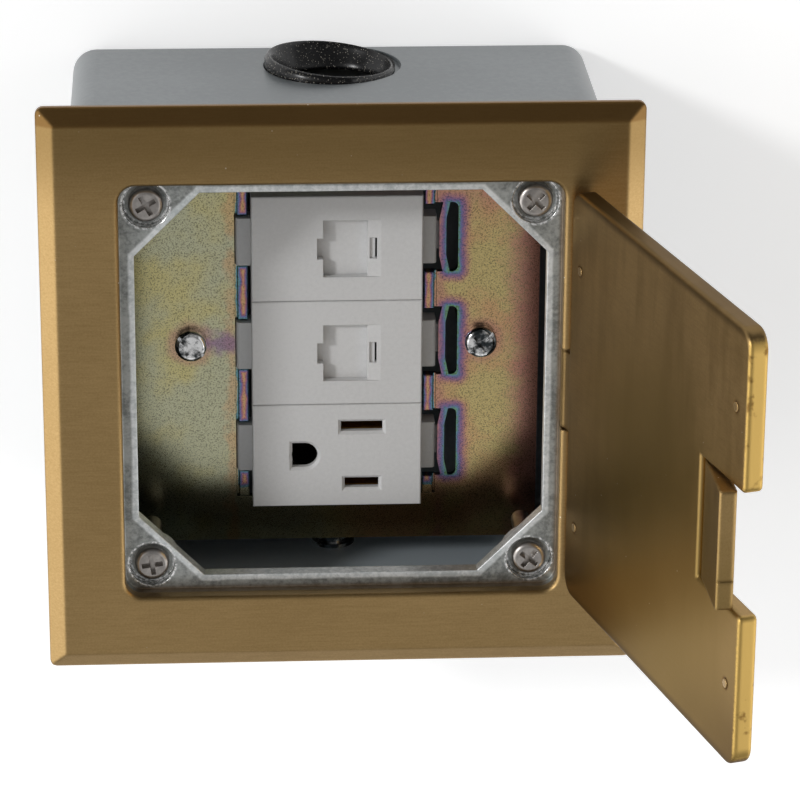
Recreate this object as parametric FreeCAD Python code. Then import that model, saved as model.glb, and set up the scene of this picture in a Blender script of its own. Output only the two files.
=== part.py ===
import FreeCAD, Part
import math
import os

# Flush floor socket box, as fitted: +Z up, finished floor at Z = 0.
# Origin: centre of the trim plate's underside. Lengths in millimetres.
# The lid is modelled open against its stop, and it closes by turning about its pin.

# ---- trim plate -------------------------------------------------------------
plate_size = 120.0
plate_thick = 3.3
plate_corner_r = 1.6
bevel_width = 3.4
rim_height = 1.2
ring_width = 15.8
opening_size = plate_size - 2 * ring_width
opening_corner_r = 3.5
opening_chamfer = 0.5
seat_depth = 0.3
seat_gap = 0.2
plate_overhang = 6.0
box_size = plate_size - 2 * plate_overhang

# ---- lid and its hinge ------------------------------------------------------
lid_gap = 0.9
lid_thick = 3.8
lid_top_drop = 0.2
lid_corner_r = 4.0
lid_edge_r = 0.7
lid_open_deg = 105.8
hinge_offset = 2.1
hinge_z = 1.05
knuckle_r = 2.1
knuckle_length = 16.5
knuckle_gap = 0.4
stop_gap = 0.15
hinge_pin_r = 1.0
hinge_pin_length = 27.0
pin_clearance = 0.05
stud_r = 0.9
stud_length = 1.5
stud_proud = 0.15
stud_inset = 5.0
stud_spacing = 55.0

# ---- cable flap -------------------------------------------------------------
notch_width = 24.4
notch_depth = 19.8
notch_corner_r = 1.2
flap_side_gap = 0.4
flap_thick = 3.3
flap_pin_r = 0.75
flap_pin_inset = 1.9
flap_length = 15.2
flap_rest_deg = 13.5
flap_pin_grip = 2.5
flap_groove_y = -6.2
flap_groove = 0.3

# ---- clamp frame ------------------------------------------------------------
flange_size = box_size
flange_thick = 2.5
flange_corner_r = 5.0
face_drop = 1.5
lip_bottom = 4.5
ledge_width = 2.9
frame_opening = opening_size - 2 * ledge_width
frame_chamfer = 13.2
screw_inset = 5.45
screw_spacing = opening_size - 2 * screw_inset
screw_turns = (8.0, 30.0, 52.0, 47.0)
pocket_r = 4.65
pocket_depth = 2.2
boss_r = 5.6
boss_bottom = 6.0
frame_screw_r = 2.0
frame_screw_head_r = 3.5
frame_screw_head_h = 2.6
frame_screw_length = 19.5
screw_clearance = 0.2
thread_clearance = 0.05
plate_screw_r = 1.5
plate_screw_spacing = box_size - 8.0
plate_screw_offset = plate_size / 4
plate_screw_reach = 2.0
plate_screw_end_gap = 0.2

# ---- back box ---------------------------------------------------------------
box_depth = 63.0
box_wall = 1.6
box_corner_r = 5.0
box_base_r = 4.0
knockout_r = 13.0
knockout_z = 16.5 - box_depth
dish_r = 14.3
dish_depth = 0.9
base_hole_r = 2.5
base_hole_spacing = box_size - 28.0
lug_thick = 1.6
lug_reach = 22.4
lug_clip = 12.0
lug_nut_wall = 1.8
lug_nut_height = 3.0

# ---- mounting strap ---------------------------------------------------------
strap_screw_spacing = 60.3
strap_side = 12.15
strap_width = strap_screw_spacing + 2 * strap_side
strap_end_gap = 8.0
strap_thick = 1.5
strap_z = -27.6
strap_corner_r = 3.0
strap_screw_r = 2.0
strap_screw_head_r = 3.35
strap_screw_head_h = 2.5
strap_screw_length = 12.0
strap_screw_turn = 38.0
post_r = 4.0
post_hole_end = 3.0
tab_width = 2.2
tab_groove = 0.5
tab_height = 0.9
left_tab_gap = 10.9
right_tab_gap = 14.8
lock_width = 1.5
lock_length = 15.1
lock_inset = 0.45
lock_bulge = 0.75
lock_flat = 8.0
lock_slot = 1.7
lock_slot_r = 1.2

# ---- modules ----------------------------------------------------------------
module_pitch = 22.8
module_gap = 0.12
module_width = 35.2
module_top = -20.8
module_y = -0.35
module_depth = 10.4
face_thick = 1.9
face_wall = 1.4
module_edge_r = 0.35
lug_width = 3.1
lug_length = 10.2
lug_top = strap_z + 1.8
lug_gap = 0.2
hook_reach = 0.8
hook_height = 1.4
core_gap = 0.3
port_x = 1.7
port_width = 12.3
port_height = 9.1
key_width = 4.5
key_height = 1.25
latch_slot_gap = 0.45
latch_pocket_width = 1.1
latch_pocket_depth = 0.35
latch_slit_width = 0.4
ramp_width = 2.8
ramp_depth = 0.45
shutter_thick = 1.0
shutter_gap = 0.15
shutter_overlap = 0.4
core_depth = 24.0
jack_cavity_depth = 13.0
contact_wire_r = 0.25
contact_pitch = 1.02
contact_count = 8
contact_rise = 2.6
contact_top_drop = 3.0

# ---- receptacle -------------------------------------------------------------
slot_spacing = 12.7
slot_x = 5.15
ground_distance = 11.9
neutral_slot = 8.7
line_slot = 7.1
slot_width = 2.2
slot_chamfer = 0.6
ground_r = 2.7
ground_straight = 2.6
sleeve_gap = 0.55
sleeve_thick = 0.6
receptacle_depth = 26.0
contact_depth = 12.0
contact_thick = 0.8
terminal_r = 2.9
terminal_head = 1.6
terminal_inset = 4.9
terminal_edge = 4.1

# ---- grommet ----------------------------------------------------------------
grommet_bore_r = 10.0
grommet_flange_r = 16.6
grommet_flange_thick = 2.0
grommet_lip_r = 14.0
grommet_neck_r = 12.8
grommet_proud = 1.9
grommet_tilt_deg = 5.0
grommet_seat_gap = 0.3

# ---- earth screw ------------------------------------------------------------
earth_z = 19.0 - box_depth
earth_washer_r = 4.6
earth_washer_thick = 0.8
earth_head_r = 3.6
earth_head_h = 2.4
earth_shank_r = 2.0


X = FreeCAD.Vector(1, 0, 0)
Y = FreeCAD.Vector(0, 1, 0)
Z = FreeCAD.Vector(0, 0, 1)


def vec(x, y, z):
    return FreeCAD.Vector(x, y, z)


def block(x0, x1, y0, y1, z0, z1):
    return Part.makeBox(x1 - x0, y1 - y0, z1 - z0, vec(x0, y0, z0))


def centred(width, length, z0, z1, cx=0.0, cy=0.0):
    return block(cx - width / 2, cx + width / 2, cy - length / 2, cy + length / 2, z0, z1)


def rounded(width, length, z0, z1, radius, cx=0.0, cy=0.0):
    solid = centred(width, length, z0, z1, cx, cy)
    return solid.makeFillet(radius, upright_edges(solid))


def upright_edges(solid):
    return [e for e in solid.Edges if e.BoundBox.XLength < 1e-6 and e.BoundBox.YLength < 1e-6]


def rod(radius, start, end):
    direction = end.sub(start)
    return Part.makeCylinder(radius, direction.Length, start, direction)


def prism(points, z0, z1):
    wire = Part.makePolygon([vec(x, y, z0) for x, y in points] + [vec(points[0][0], points[0][1], z0)])
    return Part.Face(wire).extrude(vec(0, 0, z1 - z0))


def fuse(solids):
    result = solids[0].multiFuse(solids[1:]) if len(solids) > 1 else solids[0]
    return result.removeSplitter()


def four_corners(spacing_x, spacing_y):
    return [(sx * spacing_x / 2, sy * spacing_y / 2) for sx in (-1, 1) for sy in (-1, 1)]


def save(node, shape):
    solids = shape.Solids
    kept = solids[0] if len(solids) == 1 else Part.makeCompound(solids)
    kept.exportStep("parts/" + node + ".step")


# ---- derived places ---------------------------------------------------------
opening_half = opening_size / 2
lid_half = opening_half - lid_gap
lid_top = plate_thick - lid_top_drop
lid_bottom = lid_top - lid_thick
hinge_x = opening_half + hinge_offset
hinge_point = vec(hinge_x, 0, hinge_z)
notch_end_x = -lid_half + notch_depth
flap_pin_x = notch_end_x - flap_pin_inset
flap_mid_z = (lid_top + lid_bottom) / 2
flap_width = notch_width - 2 * flap_side_gap
face_z = -face_drop
pocket_floor = face_z - pocket_depth
inner_half = box_size / 2 - box_wall
strap_length = 2 * (inner_half - strap_end_gap)
box_top = -flange_thick
box_floor = -box_depth + box_wall
module_bottom = module_top - module_depth
face_back = module_top - face_thick
shutter_floor = face_back - 2 * shutter_gap - shutter_thick
module_rows = [module_pitch * k + module_y for k in (1, 0, -1)]
core_x = module_width - 2 * face_wall - 2 * core_gap
core_y = module_pitch - module_gap - 2 * face_wall - 2 * core_gap


def open_lid(shape):
    """Turns a piece modelled on the closed lid to the open rest position."""
    turned = shape.copy()
    turned.rotate(hinge_point, Y, lid_open_deg)
    return turned


# ---- trim plate, hinge pin --------------------------------------------------
def make_trim_plate():
    half = plate_size / 2
    top_half = half - bevel_width
    plate = rounded(plate_size, plate_size, 0, rim_height, plate_corner_r)
    lower = Part.makePolygon([vec(x, y, rim_height) for x, y in
                              ((-half, -half), (half, -half), (half, half), (-half, half), (-half, -half))])
    upper = Part.makePolygon([vec(x, y, plate_thick) for x, y in
                              ((-top_half, -top_half), (top_half, -top_half), (top_half, top_half),
                               (-top_half, top_half), (-top_half, -top_half))])
    cap = Part.makeLoft([lower, upper], True)
    cap = cap.common(rounded(plate_size, plate_size, 0, plate_thick, plate_corner_r))
    plate = fuse([plate, cap])
    plate = plate.cut(rounded(opening_size, opening_size, -1, plate_thick + 1, opening_corner_r))
    flare = rounded(opening_size + 2 * opening_chamfer, opening_size + 2 * opening_chamfer,
                    plate_thick - opening_chamfer, plate_thick + 1, opening_corner_r + opening_chamfer)
    ramp = Part.makeLoft([rounded_wire(opening_size, plate_thick - opening_chamfer, opening_corner_r),
                          rounded_wire(opening_size + 2 * opening_chamfer, plate_thick,
                                       opening_corner_r + opening_chamfer)], True)
    plate = plate.cut(ramp.common(flare))
    seat = flange_size + 2 * seat_gap
    plate = plate.cut(rounded(seat, seat, -1, seat_depth, flange_corner_r + seat_gap))
    plate = plate.cut(knuckle_notch(-1))
    for x, y in plate_screw_places():
        hole_top = vec(x, y, plate_screw_reach + plate_screw_end_gap)
        plate = plate.cut(rod(plate_screw_r + thread_clearance, vec(x, y, -1), hole_top))
    return plate.cut(pin_groove(hinge_pin_r, hinge_pin_length, -1))


def knuckle_notch(z0):
    """Room for the hinge tab: its outer wall slants, and is the open lid's stop."""
    half = knuckle_length / 2 + knuckle_gap
    well = block(opening_half - 1, hinge_x + knuckle_r + stop_gap, -half, half, z0, plate_thick + 1)
    swing = block(hinge_x - 12, hinge_x, -half, half, hinge_z - 9, hinge_z + knuckle_r + stop_gap)
    swing = open_lid(swing).common(block(opening_half - 1, hinge_x + 9, -half, half, z0, plate_thick + 1))
    return fuse([well, swing])


def rounded_wire(size, z, radius):
    h = size / 2
    c = h - radius
    edges = []
    for k in range(4):
        a = math.radians(90 * k)
        turn = [(x * math.cos(a) - y * math.sin(a), x * math.sin(a) + y * math.cos(a))
                for x, y in ((h, -c), (h, c), (c + radius * math.cos(math.pi / 4), c + radius * math.sin(math.pi / 4)),
                             (c, h))]
        p = [vec(x, y, z) for x, y in turn]
        edges.append(Part.LineSegment(p[0], p[1]).toShape())
        edges.append(Part.Arc(p[1], p[2], p[3]).toShape())
    return Part.Wire(edges)


def pin_groove(radius, length, low):
    """Room for the hinge pin: round above, and straight down from its middle to low."""
    round_part = rod(radius, vec(hinge_x, -length / 2, hinge_z), vec(hinge_x, length / 2, hinge_z))
    slot = block(hinge_x - radius, hinge_x + radius, -length / 2, length / 2, low, hinge_z)
    return fuse([round_part, slot])


def make_hinge_pin():
    return rod(hinge_pin_r, vec(hinge_x, -hinge_pin_length / 2, hinge_z),
               vec(hinge_x, hinge_pin_length / 2, hinge_z))


# ---- lid, studs, cable flap (drawn closed) ----------------------------------
def soften(solid, radius, z_top, z_bottom):
    flat = [e for e in solid.Edges if e.BoundBox.ZLength < 1e-6
            and (abs(e.BoundBox.ZMin - z_top) < 1e-6 or abs(e.BoundBox.ZMin - z_bottom) < 1e-6)]
    return solid.makeFillet(radius, flat)


def make_lid():
    lid = rounded(2 * lid_half, 2 * lid_half, lid_bottom, lid_top, lid_corner_r)
    mouth = block(-lid_half - 1, notch_end_x, -notch_width / 2, notch_width / 2, lid_bottom - 1, lid_top + 1)
    lid = lid.cut(mouth)
    mouth_edges = [e for e in upright_edges(lid) if e.BoundBox.XMax < -lid_half + 1e-6
                   and abs(abs(e.BoundBox.YMax) - notch_width / 2) < 1e-6]
    lid = lid.makeFillet(notch_corner_r, mouth_edges)
    lid = soften(lid, lid_edge_r, lid_top, lid_bottom)
    tab_y = knuckle_length / 2
    barrel = rod(knuckle_r, vec(hinge_x, -tab_y, hinge_z), vec(hinge_x, tab_y, hinge_z))
    web = block(lid_half - 1.5, hinge_x, -tab_y, tab_y, lid_bottom + 0.05, hinge_z + knuckle_r)
    lid = fuse([lid, barrel, web])
    lid = lid.cut(rod(hinge_pin_r + pin_clearance, vec(hinge_x, -tab_y - 1, hinge_z), vec(hinge_x, tab_y + 1, hinge_z)))
    lid = lid.cut(flap_pin_rod(flap_pin_r, flap_pin_grip))
    for x, y in stud_places():
        lid = lid.cut(rod(stud_r, vec(x, y, lid_bottom - 1), vec(x, y, lid_bottom + stud_length)))
    return lid


def stud_places():
    reach = 2 * (lid_half - stud_inset)
    return four_corners(reach, stud_spacing)


def make_lid_studs():
    pins = []
    for x, y in stud_places():
        pins.append(rod(stud_r, vec(x, y, lid_bottom - stud_proud), vec(x, y, lid_bottom + stud_length)))
    return Part.makeCompound(pins)


def flap_pin_rod(radius, grip):
    reach = notch_width / 2 + grip
    return rod(radius, vec(flap_pin_x, -reach, flap_mid_z), vec(flap_pin_x, reach, flap_mid_z))


def make_cable_flap():
    low = flap_mid_z - flap_thick / 2
    high = flap_mid_z + flap_thick / 2
    nose = flap_thick / 2
    body = block(flap_pin_x - flap_length, flap_pin_x, -flap_width / 2, flap_width / 2, low, high)
    knuckle = rod(nose, vec(flap_pin_x, -flap_width / 2, flap_mid_z), vec(flap_pin_x, flap_width / 2, flap_mid_z))
    flap = fuse([body, knuckle])
    far = [e for e in flap.Edges if e.BoundBox.XMax < flap_pin_x - flap_length + 1e-6]
    flap = flap.makeFillet(0.5, far)
    flap = flap.cut(flap_pin_rod(flap_pin_r + pin_clearance, 1.0))
    tip = flap_pin_x - flap_length
    flap = flap.cut(block(tip - 1, tip + flap_groove, flap_groove_y, flap_groove_y + flap_groove, low - 1, high + 1))
    return swing_flap(flap)


def swing_flap(shape):
    turned = shape.copy()
    turned.rotate(vec(flap_pin_x, 0, flap_mid_z), Y, -flap_rest_deg)
    return turned


# ---- clamp frame ------------------------------------------------------------
def octagon(size, chamfer):
    h = size / 2
    c = h - chamfer
    return [(h, -c), (h, c), (c, h), (-c, h), (-h, c), (-h, -c), (-c, -h), (c, -h)]


def make_clamp_frame():
    frame = rounded(flange_size, flange_size, -flange_thick, seat_depth, flange_corner_r)
    recess = rounded(opening_size, opening_size, face_z, 1, opening_corner_r)
    frame = frame.cut(recess)
    skirt = 2 * inner_half - 2 * screw_clearance
    frame = fuse([frame, rounded(skirt, skirt, -lip_bottom, -flange_thick, flange_corner_r - 1)])
    for x, y in four_corners(screw_spacing, screw_spacing):
        frame = frame.fuse(rod(boss_r, vec(x, y, -boss_bottom), vec(x, y, face_z)))
    frame = frame.removeSplitter()
    frame = frame.cut(prism(octagon(frame_opening, frame_chamfer), -boss_bottom - 1, 1))
    for x, y in four_corners(screw_spacing, screw_spacing):
        frame = frame.cut(rod(pocket_r, vec(x, y, pocket_floor), vec(x, y, 1)))
        frame = frame.cut(rod(frame_screw_r + screw_clearance, vec(x, y, -boss_bottom - 1), vec(x, y, 1)))
    frame = frame.cut(knuckle_notch(hinge_z - knuckle_r - knuckle_gap))
    pin_bed = pin_groove(hinge_pin_r + pin_clearance, hinge_pin_length + 2 * pin_clearance, hinge_z - hinge_pin_r)
    frame = frame.cut(pin_bed)
    for x, y in plate_screw_places():
        frame = frame.cut(plate_screw(x, y, screw_clearance / 2))
    return frame


# ---- screws -----------------------------------------------------------------
def cross_recess(radius, depth, z):
    arm = radius * 0.28
    bars = fuse([centred(2 * radius * 0.62, arm, z - depth, z + 1), centred(arm, 2 * radius * 0.62, z - depth, z + 1)])
    return bars


def pan_head(radius, height, z):
    head = Part.makeCylinder(radius, height, vec(0, 0, z))
    top = [e for e in head.Edges if e.BoundBox.ZMin > z + height - 1e-6]
    return head.makeFillet(height * 0.42, top)


def make_frame_screws():
    screws = []
    for (x, y), turn in zip(four_corners(screw_spacing, screw_spacing), screw_turns):
        head = pan_head(frame_screw_head_r, frame_screw_head_h, 0)
        head = head.cut(cross_recess(frame_screw_head_r, 1.6, frame_screw_head_h))
        tip = Part.makeCone(frame_screw_r * 0.6, frame_screw_r, 1.0, vec(0, 0, -frame_screw_length))
        shank = Part.makeCylinder(frame_screw_r, frame_screw_length - 1.0, vec(0, 0, -frame_screw_length + 1.0))
        screw = fuse([head, shank, tip])
        screw.rotate(vec(0, 0, 0), Z, turn)
        screw.translate(vec(x, y, pocket_floor))
        screws.append(screw)
    return Part.makeCompound(screws)


def plate_screw_places():
    far = plate_screw_spacing / 2
    return [(-far, -plate_screw_offset), (-far, plate_screw_offset), (far, -plate_screw_offset),
            (far, plate_screw_offset)]


def plate_screw(x, y, grow):
    shank = Part.makeCylinder(plate_screw_r + grow, flange_thick + plate_screw_reach, vec(x, y, -flange_thick))
    head = Part.makeCone(2 * plate_screw_r + grow, plate_screw_r + grow, plate_screw_r, vec(x, y, -flange_thick))
    return fuse([shank, head])


def make_plate_screws():
    return Part.makeCompound([plate_screw(x, y, 0.0) for x, y in plate_screw_places()])


# ---- back box, lugs, posts, earth screw -------------------------------------
def make_back_box():
    box = rounded(box_size, box_size, -box_depth, box_top, box_corner_r)
    base = [e for e in box.Edges if e.BoundBox.ZMax < -box_depth + 1e-6]
    box = box.makeFillet(box_base_r, base)
    inside = rounded(2 * inner_half, 2 * inner_half, box_floor, box_top + 1, box_corner_r - box_wall)
    floor_edges = [e for e in inside.Edges if e.BoundBox.ZMax < box_floor + 1e-6]
    inside = inside.makeFillet(box_base_r - box_wall, floor_edges)
    box = box.cut(inside)
    box = box.cut(rod(knockout_r, vec(0, 0, knockout_z), vec(0, box_size, knockout_z)))
    box = box.cut(rod(dish_r, vec(0, box_size / 2 - dish_depth, knockout_z), vec(0, box_size, knockout_z)))
    for x, y in four_corners(base_hole_spacing, base_hole_spacing):
        box = box.cut(rod(base_hole_r, vec(x, y, -box_depth - 1), vec(x, y, box_floor + 1)))
    return box.cut(rod(earth_shank_r + thread_clearance, vec(0, -box_size, earth_z), vec(0, -inner_half + 1, earth_z)))


def make_corner_lugs():
    far = inner_half
    near = inner_half - lug_reach
    lugs = []
    top = -boss_bottom
    for sx in (-1, 1):
        for sy in (-1, 1):
            corner = box_corner_r
            pts = [(far, near), (far, far - corner), (far - corner, far), (near, far), (near, near + lug_clip),
                   (near + lug_clip, near)]
            plate = prism([(sx * x, sy * y) for x, y in pts], top - lug_thick, top)
            x, y = sx * screw_spacing / 2, sy * screw_spacing / 2
            nut = rod(frame_screw_r + lug_nut_wall, vec(x, y, top - lug_thick - lug_nut_height), vec(x, y, top))
            hole = rod(frame_screw_r + thread_clearance, vec(x, y, -box_depth), vec(x, y, 0))
            lugs.append(fuse([plate, nut]).cut(hole))
    return Part.makeCompound(lugs)


def make_strap_posts():
    posts = []
    for side in (-1, 1):
        x = side * strap_screw_spacing / 2
        post = rod(post_r, vec(x, module_y, box_floor), vec(x, module_y, strap_z - strap_thick))
        hole_bottom = vec(x, module_y, strap_z - strap_screw_length - post_hole_end)
        hole = rod(strap_screw_r + thread_clearance, hole_bottom, vec(x, module_y, 0))
        posts.append(post.cut(hole))
    return Part.makeCompound(posts)


# ---- mounting strap ---------------------------------------------------------
def make_mounting_strap():
    low = strap_z - strap_thick
    strap = rounded(strap_width, strap_length, low, strap_z, strap_corner_r, 0, module_y)
    window_x = module_width + 2 * (lug_width + lug_gap)
    window_y = 3 * module_pitch + 2 * core_gap
    strap = strap.cut(centred(window_x, window_y, low - 1, strap_z + 1, 0, module_y))
    for side in (-1, 1):
        x = side * strap_screw_spacing / 2
        strap = strap.cut(rod(strap_screw_r + screw_clearance, vec(x, module_y, low - 1), vec(x, module_y, 0)))
    edge = window_x / 2
    pads = []
    for side, gap in ((-1, left_tab_gap), (1, right_tab_gap)):
        for y0, y1 in tab_spans(gap):
            pads.append(locating_tab(side, edge, y0, y1))
    for y in module_rows:
        strap = strap.cut(lock_cut(edge, y))
        pads.append(lock_strip(edge, y))
    return fuse([strap] + pads)


def locating_tab(side, edge, y0, y1):
    """A tab bent in from the window's edge, with its flat raised beyond the bend."""
    low = strap_z - strap_thick
    tip = edge - tab_groove - tab_width
    x0, x1 = sorted((side * tip, side * edge))
    p0, p1 = sorted((side * tip, side * (edge - tab_groove)))
    pad = block(p0, p1, y0, y1, low, strap_z + tab_height)
    crown = [e for e in pad.Edges if e.BoundBox.ZMin > strap_z + tab_height - 1e-6]
    return fuse([block(x0, x1, y0, y1, low, strap_z - tab_groove), pad.makeFillet(0.3, crown)])


def tab_spans(gap):
    spans = []
    start = module_y + 1.5 * module_pitch - module_gap
    for y in module_rows:
        spans.append((y + gap / 2, start))
        start = y - gap / 2
    spans.append((module_y - 1.5 * module_pitch + module_gap, start))
    return spans


def bowed(x_end, x_mid, y):
    """One side of a locking strip: straight ends, and a flat middle that is pushed in."""
    half = lock_length / 2
    flat = lock_flat / 2
    return [(x_end, y - half), (x_mid, y - flat), (x_mid, y + flat), (x_end, y + half)]


def lock_cut(edge, y):
    low = strap_z - strap_thick - 1
    outer_x = edge + lock_inset + lock_bulge + lock_width + lock_slot
    half = lock_length / 2
    slot = block(edge - 1, outer_x, y - half, y + half, low, strap_z + 1)
    return slot.makeFillet(lock_slot_r, [e for e in upright_edges(slot) if e.BoundBox.XMin > edge])


def lock_strip(edge, y):
    low = strap_z - strap_thick
    near = edge + lock_inset
    inner = bowed(near + lock_bulge, near, y)
    outer = bowed(near + lock_bulge + lock_width, near + lock_width, y)
    half = lock_length / 2 + 0.5
    ends = [(inner[0][0], y - half), (outer[0][0], y - half)]
    tops = [(outer[3][0], y + half), (inner[3][0], y + half)]
    outline = ends + outer + tops + inner[::-1]
    return prism(outline, low, strap_z)


def make_strap_screws():
    screws = []
    for side in (-1, 1):
        x = side * strap_screw_spacing / 2
        head = pan_head(strap_screw_head_r, strap_screw_head_h, 0)
        head = head.cut(cross_recess(strap_screw_head_r, 1.3, strap_screw_head_h))
        head = head.cut(centred(2 * strap_screw_head_r + 1, 0.8, strap_screw_head_h - 0.7, strap_screw_head_h + 1))
        shank = Part.makeCylinder(strap_screw_r, strap_screw_length, vec(0, 0, -strap_screw_length))
        screw = fuse([head, shank])
        screw.rotate(vec(0, 0, 0), Z, strap_screw_turn * side)
        screw.translate(vec(x, module_y, strap_z))
        screws.append(screw)
    return Part.makeCompound(screws)


# ---- modules ----------------------------------------------------------------
def face_shell(y):
    length = module_pitch - module_gap
    shell = centred(module_width, length, module_bottom, module_top, 0, y)
    top = [e for e in shell.Edges if e.BoundBox.ZMin > module_top - 1e-6]
    shell = shell.makeFillet(module_edge_r, top)
    shell = shell.cut(centred(module_width - 2 * face_wall, length - 2 * face_wall, module_bottom - 1, face_back, 0, y))
    return fuse([shell] + [side_lug(side, y) for side in (-1, 1)])


def side_lug(side, y):
    """A lug that fills its bay in the strap's window, with a hook under the strap."""
    near = module_width / 2 - face_wall / 2
    far = module_width / 2 + lug_width
    low = strap_z - strap_thick
    half = lug_length / 2
    x0, x1 = sorted((side * near, side * far))
    lug = block(x0, x1, y - half, y + half, low - lug_gap - hook_height, lug_top)
    lug = lug.makeFillet(0.8, [e for e in lug.Edges if e.BoundBox.ZMin > lug_top - 1e-6 and e.BoundBox.XLength < 1e-6
                               and abs(e.BoundBox.XMin - side * far) < 1e-6])
    h0, h1 = sorted((side * far, side * (far + hook_reach)))
    hook = block(h0, h1, y - half + 2, y + half - 2, low - lug_gap - hook_height, low - lug_gap)
    body = fuse([lug, hook])
    hollow = centred(module_width - 2 * face_wall, module_pitch, low - 9, lug_top + 9, 0, y)
    return body.cut(hollow)


def port_main(y, z0, z1):
    main = centred(port_height, port_width, z0, z1, port_x, y)
    left = port_x - port_height / 2
    key = block(left - key_height, left + 1, y - key_width / 2, y + key_width / 2, z0, z1)
    return fuse([main, key])


def make_jack_face(y):
    face = face_shell(y).cut(port_main(y, module_bottom, module_top + 1))
    right = port_x + port_height / 2
    half = port_width / 2
    profile = [vec(right - 1, 0, module_top + 1), vec(right - 1, 0, module_top - ramp_depth),
               vec(right, 0, module_top - ramp_depth), vec(right + ramp_width, 0, module_top),
               vec(right + ramp_width, 0, module_top + 1), vec(right - 1, 0, module_top + 1)]
    ramp = Part.Face(Part.makePolygon(profile)).extrude(vec(0, port_width, 0))
    ramp.translate(vec(0, y - half, 0))
    left = right + latch_slot_gap
    middle = left + latch_pocket_width
    pocket = block(left, middle + latch_slit_width, y - key_width / 2, y + key_width / 2,
                   module_top - ramp_depth - latch_pocket_depth, module_top + 1)
    slit = block(middle, middle + latch_slit_width, y - key_width / 2, y + key_width / 2,
                 module_bottom, module_top + 1)
    return face.cut(ramp).cut(pocket).cut(slit)


def make_shutter(y):
    top = face_back - shutter_gap
    half = port_width / 2 + shutter_overlap
    left = port_x - port_height / 2 - key_height - shutter_overlap
    right = port_x + port_height / 2 + shutter_overlap
    return block(left, right, y - half, y + half, top - shutter_thick, top)


def make_jack_core(y):
    core = centred(core_x, core_y, shutter_floor - core_depth, shutter_floor, 0, y)
    return core.cut(port_main(y, shutter_floor - jack_cavity_depth, shutter_floor + 1))


def make_jack_contacts(y):
    wires = []
    base = port_x - port_height / 2
    for k in range(contact_count):
        wy = y + (k - (contact_count - 1) / 2) * contact_pitch
        start = vec(base + contact_wire_r + 0.1, wy, shutter_floor - jack_cavity_depth + contact_wire_r)
        end = vec(base + contact_rise, wy, shutter_floor - contact_top_drop)
        wires.append(rod(contact_wire_r, start, end))
    return Part.makeCompound(wires)


# ---- receptacle -------------------------------------------------------------
def blade_slot(y, length, z0, z1):
    return centred(length, slot_width, z0, z1, slot_x, y)


def ground_hole(y, z0, z1):
    cx = slot_x - ground_distance
    round_end = Part.makeCylinder(ground_r, z1 - z0, vec(cx, y, z0))
    return fuse([round_end, block(cx - ground_straight, cx, y - ground_r, y + ground_r, z0, z1)])


def make_receptacle_face(y):
    face = face_shell(y)
    cuts = [blade_slot(y + slot_spacing / 2, neutral_slot, module_bottom - 1, module_top + 1),
            blade_slot(y - slot_spacing / 2, line_slot, module_bottom - 1, module_top + 1),
            ground_hole(y, module_bottom - 1, module_top + 1)]
    for cut in cuts:
        face = face.cut(cut)
    inner = module_pitch / 2 - module_edge_r - 1
    rims = [e for e in face.Edges if e.BoundBox.ZMin > module_top - 1e-6
            and abs(e.CenterOfMass.y - y) < inner and abs(e.CenterOfMass.x) < module_width / 2 - 2]
    return face.makeChamfer(slot_chamfer, rims)


def make_receptacle_body(y):
    top = face_back - 0.1
    body = centred(core_x, core_y, top - receptacle_depth, top, 0, y)
    for cy, length in ((y + slot_spacing / 2, neutral_slot), (y - slot_spacing / 2, line_slot)):
        body = body.cut(centred(length + 0.8, slot_width + 2.2, top - contact_depth, top + 1, slot_x, cy))
    chamber_r = ground_r + sleeve_gap + sleeve_thick + 0.15
    return body.cut(Part.makeCylinder(chamber_r, contact_depth + 1, vec(slot_x - ground_distance, y,
                                                                        top - contact_depth)))


def make_blade_contact(y, length):
    top = face_back - 0.1
    half = slot_width / 2 + 0.2
    low = top - contact_depth
    walls = [centred(length, contact_thick, low, top - 1, slot_x, y + s * (half + contact_thick / 2))
             for s in (-1, 1)]
    floor = centred(length, 2 * half + 2 * contact_thick, low, low + contact_thick, slot_x, y)
    return fuse(walls + [floor])


def make_ground_contact(y):
    top = face_back - 0.1
    cx = slot_x - ground_distance
    low = top - contact_depth
    bore_r = ground_r + sleeve_gap
    tube = Part.makeCylinder(bore_r + sleeve_thick, contact_depth - 1, vec(cx, y, low))
    return tube.cut(Part.makeCylinder(bore_r, contact_depth, vec(cx, y, low + contact_thick)))


def make_terminal_screws(y):
    bottom = face_back - 0.1 - receptacle_depth
    far_x = core_x / 2 - terminal_inset
    far_y = core_y / 2 - terminal_edge
    places = ((far_x, y + far_y), (far_x, y - far_y), (-far_x, y))
    return Part.makeCompound([Part.makeCylinder(terminal_r, terminal_head, vec(x, cy, bottom - terminal_head))
                              for x, cy in places])


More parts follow.
